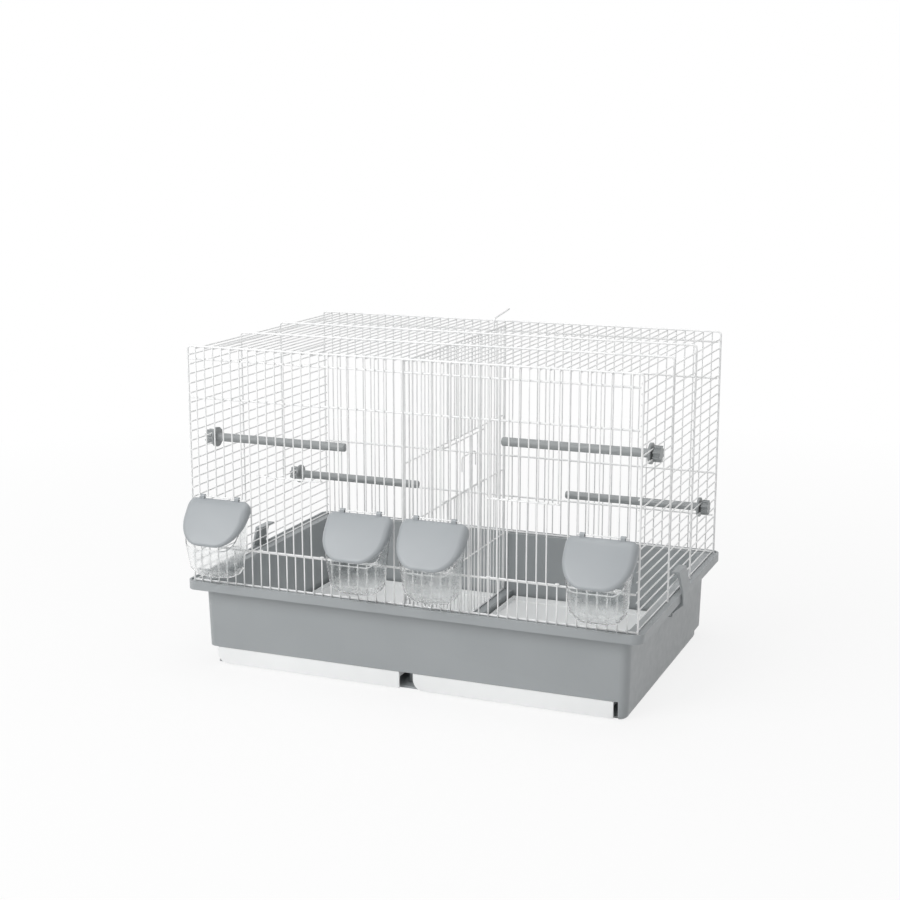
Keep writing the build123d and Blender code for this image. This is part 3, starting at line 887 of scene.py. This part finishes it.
@dataclass
class Divider:
    """The wire divider: a thick frame, close uprights, thin stiffeners and a bent tab on top."""

    grid: Grid
    palette: Palette
    x: float = -0.00625
    half_depth: float = 0.180
    bottom_z: float = 0.03165
    top_gap: float = 0.0005
    hatch_levels: tuple[float, float] = (0.096, 0.176)
    hatch_places: tuple[int, int] = (-4, 7)
    tab_inset: float = 0.05975
    tab_end_margin: float = 0.00125
    tab_rises: tuple[float, float] = (0.010, 0.017)
    tab_bend: float = 0.006
    bead: float = 0.0008

    @property
    def top_z(self) -> float:
        """Height of the frame's top bar."""
        return self.grid.roof_z - self.grid.thin - self.top_gap - self.grid.thick

    @property
    def hatch_z(self) -> tuple[float, ...]:
        """Heights of the stiffeners below and above the hatch."""
        return tuple(self.grid.rim_z + level for level in self.hatch_levels)

    def build(self) -> list[bpy.types.Object]:
        """Make the divider and its tab."""
        return [self._panel(), self._tab()]

    def _panel(self) -> bpy.types.Object:
        """Make the frame, the uprights and the stiffeners."""
        grid = self.grid
        wires = Wirework("divider_panel")
        end = self.half_depth
        corner = end + grid.thick
        for z in (self.bottom_z, self.top_z):
            wires.straight((self.x, -corner, z), (self.x, corner, z), grid.thick)
        start = self.bottom_z + grid.thick + grid.weld_gap
        stop = self.top_z - grid.thick - grid.weld_gap
        for y in (-end, end):
            wires.straight((self.x, y, start), (self.x, y, stop), grid.thick)
        low, high = self.hatch_z
        levels = (grid.rim_z, low, high)
        reach = int(end / grid.pitch)
        for place in range(-reach, reach + 1):
            y = place * grid.pitch
            if self.hatch_places[0] < place < self.hatch_places[1]:
                wires.straight((self.x, y, start), (self.x, y, low + grid.thin), grid.thin)
                wires.straight((self.x, y, high - grid.thin), (self.x, y, stop), grid.thin)
            else:
                wires.straight((self.x, y, start), (self.x, y, stop), grid.thin)
            for z in levels:
                wires.bead((self.x - grid.thin, y, z), self.bead)
        for z in levels:
            x = self.x - grid.thin_crossing
            wires.straight((x, -end, z), (x, end, z), grid.thin)
        return dress_wires(wires, self.palette, "cage", "divider")

    def _tab(self) -> bpy.types.Object:
        """Make the bent wire that holds the divider to the roof and the rear edge."""
        grid = self.grid
        wires = Wirework("divider_roof_tab")
        foot_y = grid.half_depth - self.tab_inset
        corners = [(self.x, foot_y, self.top_z + grid.thick + grid.weld_gap),
                   (self.x, foot_y, grid.top_z + self.tab_rises[0]),
                   (self.x, grid.half_depth + self.tab_end_margin, grid.top_z + self.tab_rises[1])]
        wires.bent(corners, grid.thick, self.tab_bend)
        return dress_wires(wires, self.palette, "cage", "divider_tab")


@dataclass
class Hatch:
    """The divider's hatch, hung on one of its uprights, with a wire pull."""

    grid: Grid
    palette: Palette
    divider: Divider
    bar_inset: float = 0.004
    overlap: float = 0.0035
    upright_step: int = 2
    pull_width: float = 0.050
    pull_height: float = 0.020
    pull_drop: float = 0.026
    pull_shift: float = 0.5
    pull_bend: float = 0.005
    bead: float = 0.0008

    def build(self) -> list[bpy.types.Object]:
        """Make the hatch and its pull."""
        return [self._panel(), self._pull()]

    @property
    def bar_x(self) -> float:
        """X of the two bars."""
        return self.divider.x + self.grid.ring_radius

    def _panel(self) -> bpy.types.Object:
        """Make the bars, the hinge rings and the wide-spaced uprights."""
        grid = self.grid
        wires = Wirework("hatch_panel")
        upright_x = self.bar_x + grid.thin_crossing
        hinge_place, latch_place = self.divider.hatch_places
        low, high = self.divider.hatch_z
        heights = (low + self.bar_inset, high - self.bar_inset)
        hinge_y = hinge_place * grid.pitch
        start_y = hinge_y + grid.ring_radius + grid.thin
        stop_y = latch_place * grid.pitch + self.overlap
        for z in heights:
            wires.ring((self.divider.x, hinge_y, z), grid.ring_radius, grid.thin)
            wires.straight((self.bar_x, start_y, z), (self.bar_x, stop_y, z), grid.thin)
        for place in range(hinge_place + 1, latch_place, self.upright_step):
            y = place * grid.pitch
            foot = (upright_x, y, heights[0] - grid.thin)
            head = (upright_x, y, heights[1] + grid.thin)
            wires.straight(foot, head, grid.thin)
            for z in heights:
                wires.bead((self.bar_x + grid.thin, y, z), self.bead)
        return dress_wires(wires, self.palette, "hatch", "hatch")

    def _pull(self) -> bpy.types.Object:
        """Make the staple that is pulled to open the hatch."""
        grid = self.grid
        wires = Wirework("hatch_wire_pull")
        x = self.bar_x + 2 * grid.thin_crossing
        middle = (sum(self.divider.hatch_places) / 2 + self.pull_shift) * grid.pitch
        top = self.divider.hatch_z[1] - self.pull_drop
        near = middle - self.pull_width / 2
        far = middle + self.pull_width / 2
        foot = top - self.pull_height
        corners = [(x, near, foot), (x, near, top), (x, far, top), (x, far, foot)]
        wires.bent(corners, grid.thin, self.pull_bend)
        return dress_wires(wires, self.palette, "hatch", "hatch_pull")


@dataclass
class FeederHood:
    """One feeder hood: a slanted face with broad round edges, open below and behind, on two knuckles.

    Distances are from the hanger wire: down from its height, and forwards from just before it.
    """

    grid: Grid
    palette: Palette
    panel: FrontPanel
    number: int
    half_width: float = 0.0445
    drop: float = 0.002
    set_forward: float = 0.0006
    height: float = 0.0535
    low_corner: float = 0.033
    low_segments: int = 12
    top_corner: float = 0.010
    top_segments: int = 6
    top_reach: float = 0.005
    foot_reach: float = 0.046
    edge_drop: float = 0.014
    edge_reach: float = 0.038
    wall: float = 0.0018
    edge_round: float = 0.008
    edge_segments: int = 6
    overrun: float = 0.012
    knuckle_spread: float = 0.025
    knuckle_width: float = 0.006
    knuckle_radius: float = 0.0026
    knuckle_bore: float = 0.00097
    knuckle_steps: int = 24
    rounding: float = Rounding.hood

    @property
    def centre(self) -> float:
        """X of the hood's middle."""
        return self.panel.feeder_centres[self.number - 1]

    @property
    def top_z(self) -> float:
        """Height of the hood's top."""
        return self.panel.hanger_z - self.drop

    @property
    def back_y(self) -> float:
        """Y of the hood's open back."""
        return self.panel.hanger_y - self.set_forward

    def build(self) -> bpy.types.Object:
        """Make the shell and its knuckles.

        Returns:
            The piece.
        """
        mesh = bmesh.new()
        self._shell(mesh)
        for side in Side:
            self._knuckle(mesh, self.centre + side.value * self.knuckle_spread)
        piece = put_up(mesh, f"feeder_hood_{self.number}", self.palette.hood)
        soften(piece, self.rounding)
        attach(piece, f"hood_{self.number}")
        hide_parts(f"hood_{self.number}")
        return piece

    def _shell(self, mesh: bmesh.types.BMesh) -> None:
        """Cut a block to the hood's form, round its face, open it and give it a wall.

        Args:
            mesh: the bmesh that takes it.
        """
        foot_z = self.top_z - self.height
        near_y = self.back_y - self.foot_reach - self.overrun
        far_y = self.back_y + self.overrun
        middle = Vector((self.centre, (near_y + far_y) / 2, (self.top_z + foot_z) / 2))
        add_block(mesh, middle, (2 * self.half_width, far_y - near_y, self.height))
        self._round_corners(mesh, middle.z)
        across = Vector((1, 0, 0))
        face_run = Vector((0, self.top_reach - self.foot_reach, -self.height))
        face_top = Vector((0, self.back_y - self.top_reach, self.top_z))
        rim = self._cut(mesh, face_top, face_run.cross(across))
        bmesh.ops.contextual_create(mesh, geom=rim)
        bmesh.ops.bevel(mesh, geom=rim, offset=self.edge_round, segments=self.edge_segments, profile=0.5,
                        affect="EDGES", material=-1, clamp_overlap=False)
        self._cut(mesh, Vector((0, self.back_y, 0)), Vector((0, 1, 0)))
        side_run = Vector((0, -self.edge_reach, self.edge_drop - self.height))
        side_top = Vector((0, self.back_y, self.top_z - self.edge_drop))
        self._cut(mesh, side_top, across.cross(side_run))
        bmesh.ops.solidify(mesh, geom=mesh.faces[:], thickness=self.wall)

    def _round_corners(self, mesh: bmesh.types.BMesh, middle_z: float) -> None:
        """Round the block's edges that run from front to back.

        Args:
            mesh: the bmesh.
            middle_z: the height that parts the lower edges from the upper ones.
        """
        runs = [edge for edge in mesh.edges
                if abs(edge.verts[0].co.y - edge.verts[1].co.y) > self.foot_reach]
        lower = [edge for edge in runs if edge.verts[0].co.z < middle_z]
        upper = [edge for edge in runs if edge.verts[0].co.z > middle_z]
        for edges, radius, segments in ((lower, self.low_corner, self.low_segments),
                                        (upper, self.top_corner, self.top_segments)):
            bmesh.ops.bevel(mesh, geom=edges, offset=radius, segments=segments, profile=0.5,
                            affect="EDGES", material=-1)

    def _cut(self, mesh: bmesh.types.BMesh, place: Vector, normal: Vector) -> list[bmesh.types.BMEdge]:
        """Cut the block along a plane and take away what lies beyond it.

        Args:
            mesh: the bmesh.
            place: a point of the plane.
            normal: the side that goes.

        Returns:
            The edges along the cut.
        """
        everything = mesh.verts[:] + mesh.edges[:] + mesh.faces[:]
        made = bmesh.ops.bisect_plane(mesh, geom=everything, plane_co=place,
                                      plane_no=normal.normalized(), clear_outer=True)
        return only_edges(made["geom_cut"])

    def _knuckle(self, mesh: bmesh.types.BMesh, x: float) -> None:
        """Add one knuckle: a barrel round the hanger wire and the web that joins it to the shell.

        Args:
            mesh: the bmesh that takes it.
            x: its middle.
        """
        axis = Vector((x, self.panel.hanger_y, self.panel.hanger_z))
        thickness = self.knuckle_radius - self.knuckle_bore
        middle = axis + Vector((0, 0, self.knuckle_bore + thickness / 2))
        scale = Matrix.Diagonal((self.knuckle_width / 2, thickness / 2, 1.0, 1.0))
        section = bmesh.ops.create_grid(mesh, x_segments=1, y_segments=1, size=1.0,
                                        matrix=Matrix.Translation(middle) @ UPRIGHT @ scale)["verts"]
        edges = outline_edges(section)
        inside = {face for vert in section for face in vert.link_faces}
        bmesh.ops.delete(mesh, geom=list(inside), context="FACES_ONLY")
        before = set(mesh.faces)
        spin_round(mesh, edges, axis, (1, 0, 0), self.knuckle_steps)
        barrel = [face for face in mesh.faces if face not in before]
        bmesh.ops.recalc_face_normals(mesh, faces=barrel)
        low = Vector((x, axis.y - self.knuckle_radius, self.top_z - self.wall))
        high = Vector((x, axis.y - self.knuckle_bore, axis.z))
        add_block(mesh, (low + high) / 2, (self.knuckle_width, high.y - low.y, high.z - low.z))


# The studio


@dataclass(frozen=True)
class Lamp:
    """A soft square lamp: its name, place, width in metres and power in watts."""

    name: str
    place: Point
    size: float
    power: float


@dataclass(frozen=True)
class Studio:
    """A plain pale floor, soft lamps and the camera at the photograph's angle."""

    azimuth: float = 22.18
    elevation: float = 11.89
    distance: float = 2.162
    target: Point = (-0.0176, 0.0, 0.2729)
    focal_pixels: float = 1616.0
    image_pixels: float = 900.0
    sensor: float = 36.0
    floor_size: float = 30.0
    floor_colour: Colour = (0.86, 0.86, 0.86)
    floor_roughness: float = 0.9
    floor_white: float = 0.83
    fade_start: float = 0.5
    fade_end: float = 1.7
    world_strength: float = 0.42
    lamps: tuple[Lamp, ...] = (Lamp("key", (-1.7, -2.9, 2.2), 2.4, 76.0),
                               Lamp("top", (0.0, 0.0, 3.2), 2.6, 36.0))

    def build(self) -> None:
        """Make the floor, world, lamps and camera."""
        scene = bpy.context.scene
        scene.view_settings.view_transform = "Standard"
        self._world(scene)
        self._floor()
        self._camera(scene)
        for lamp in self.lamps:
            self._hang(lamp)

    def _backdrop(self, tree: bpy.types.NodeTree, plain: bpy.types.NodeSocket,
                  white: bpy.types.NodeSocket, share: bpy.types.NodeSocket | float
                  ) -> bpy.types.NodeSocket:
        """Show white where rays see the backdrop directly, in a mirror or through clear plastic.

        Args:
            tree: the node tree.
            plain: the shader that lights the scene.
            white: the plain white shader.
            share: how much of the white shows, all over or by a socket.

        Returns:
            The mixed shader.
        """
        path = tree.nodes.new("ShaderNodeLightPath").outputs
        weight = path["Is Camera Ray"]
        for operation, other in (("MAXIMUM", path["Is Transmission Ray"]),
                                 ("MAXIMUM", path["Is Glossy Ray"]), ("MULTIPLY", share)):
            step = tree.nodes.new("ShaderNodeMath")
            step.operation = operation
            tree.links.new(weight, step.inputs[0])
            if isinstance(other, bpy.types.NodeSocket):
                tree.links.new(other, step.inputs[1])
            else:
                step.inputs[1].default_value = other
            weight = step.outputs[0]
        mix = tree.nodes.new("ShaderNodeMixShader")
        for place, socket in enumerate((weight, plain, white)):
            tree.links.new(socket, mix.inputs[place])
        return mix.outputs[0]

    def _world(self, scene: bpy.types.Scene) -> None:
        """Make the world: even soft light, and white where the camera sees it.

        Args:
            scene: the scene that takes it.
        """
        world = bpy.data.worlds.new("studio")
        world.use_nodes = True
        tree = world.node_tree
        plain = tree.nodes["Background"]
        white = tree.nodes.new("ShaderNodeBackground")
        for background, strength in ((plain, self.world_strength), (white, 1.0)):
            background.inputs["Color"].default_value = (1.0, 1.0, 1.0, 1.0)
            background.inputs["Strength"].default_value = strength
        shown = self._backdrop(tree, plain.outputs[0], white.outputs[0], 1.0)
        tree.links.new(shown, tree.nodes["World Output"].inputs["Surface"])
        scene.world = world

    def _floor(self) -> None:
        """Make the pale floor, which keeps the cage's shadow and fades to white further off."""
        mesh = bmesh.new()
        bmesh.ops.create_grid(mesh, x_segments=1, y_segments=1, size=self.floor_size / 2)
        nodes = Nodes("pale_floor")
        nodes.shader.inputs["Base Color"].default_value = (*self.floor_colour, 1.0)
        nodes.shader.inputs["Roughness"].default_value = self.floor_roughness
        white = nodes.add("ShaderNodeEmission", {"Strength": 1.0})
        away = nodes.add("ShaderNodeVectorMath", operation="LENGTH")
        nodes.tree.links.new(nodes.object_coordinates, away.inputs[0])
        inputs = {"Value": away.outputs["Value"], "From Min": self.fade_start,
                  "From Max": self.fade_end, "To Min": self.floor_white, "To Max": 1.0}
        share = nodes.add("ShaderNodeMapRange", inputs).outputs["Result"]
        shown = self._backdrop(nodes.tree, nodes.shader.outputs[0], white.outputs[0], share)
        nodes.tree.links.new(shown, nodes.tree.nodes["Material Output"].inputs["Surface"])
        floor = put_up(mesh, "floor", nodes.material)

    def _hang(self, lamp: Lamp) -> None:
        """Hang a lamp that points at the cage.

        Args:
            lamp: the lamp.
        """
        data = bpy.data.lights.new(lamp.name, "AREA")
        data.size = lamp.size
        data.energy = lamp.power
        hung = bpy.data.objects.new(lamp.name, data)
        hung.location = lamp.place
        aim = Vector(self.target) - Vector(lamp.place)
        hung.rotation_euler = aim.to_track_quat("-Z", "Y").to_euler()
        bpy.context.scene.collection.objects.link(hung)

    def _camera(self, scene: bpy.types.Scene) -> None:
        """Make the camera.

        Args:
            scene: the scene that takes it.
        """
        turn = math.radians(self.azimuth)
        rise = math.radians(self.elevation)
        level = math.cos(rise)
        back = Vector((math.sin(turn) * level, -math.cos(turn) * level, math.sin(rise)))
        data = bpy.data.cameras.new("camera")
        data.sensor_width = self.sensor
        data.lens = self.focal_pixels / self.image_pixels * self.sensor
        camera = bpy.data.objects.new("camera", data)
        camera.location = Vector(self.target) + back * self.distance
        camera.rotation_euler = (-back).to_track_quat("-Z", "Y").to_euler()
        scene.collection.objects.link(camera)
        scene.camera = camera


def main() -> None:
    """Build every sub-assembly in order and report each piece."""
    logging.basicConfig(level=logging.INFO, format="%(message)s")
    palette = Palette()
    rounding = Rounding()
    grid = Grid()
    panel = FrontPanel(grid, palette)
    pieces = Canopy(grid, palette).build() + panel.build() + RearPanel(grid, palette).build()
    for side in Side:
        pieces.append(LiftDoor(grid, palette, panel, side).build())
    divider = Divider(grid, palette)
    pieces += divider.build() + Hatch(grid, palette, divider).build()
    dress_node("tub", palette.base, rounding.tub)
    for side in Side:
        dress_node(f"tray_{side.word}", palette.tray, rounding.tray)
        dress_node(f"clip_{side.word}", palette.base, rounding.clip)
        dress_node(f"clip_pin_{side.word}", palette.steel, rounding.pin)
    for number in range(1, len(panel.feeder_centres) + 1):
        pieces.append(FeederHood(grid, palette, panel, number).build())
        dress_node(f"cup_{number}", palette.clear, rounding.cup)
        dress_node(f"perch_{number}", palette.perch, rounding.perch)
        dress_node(f"perch_knob_{number}", palette.perch, rounding.perch)
    for piece in pieces:
        log.info("piece %s: %d faces", piece.name, len(piece.data.polygons))
    Studio().build()


if __name__ == "__main__":
    main()
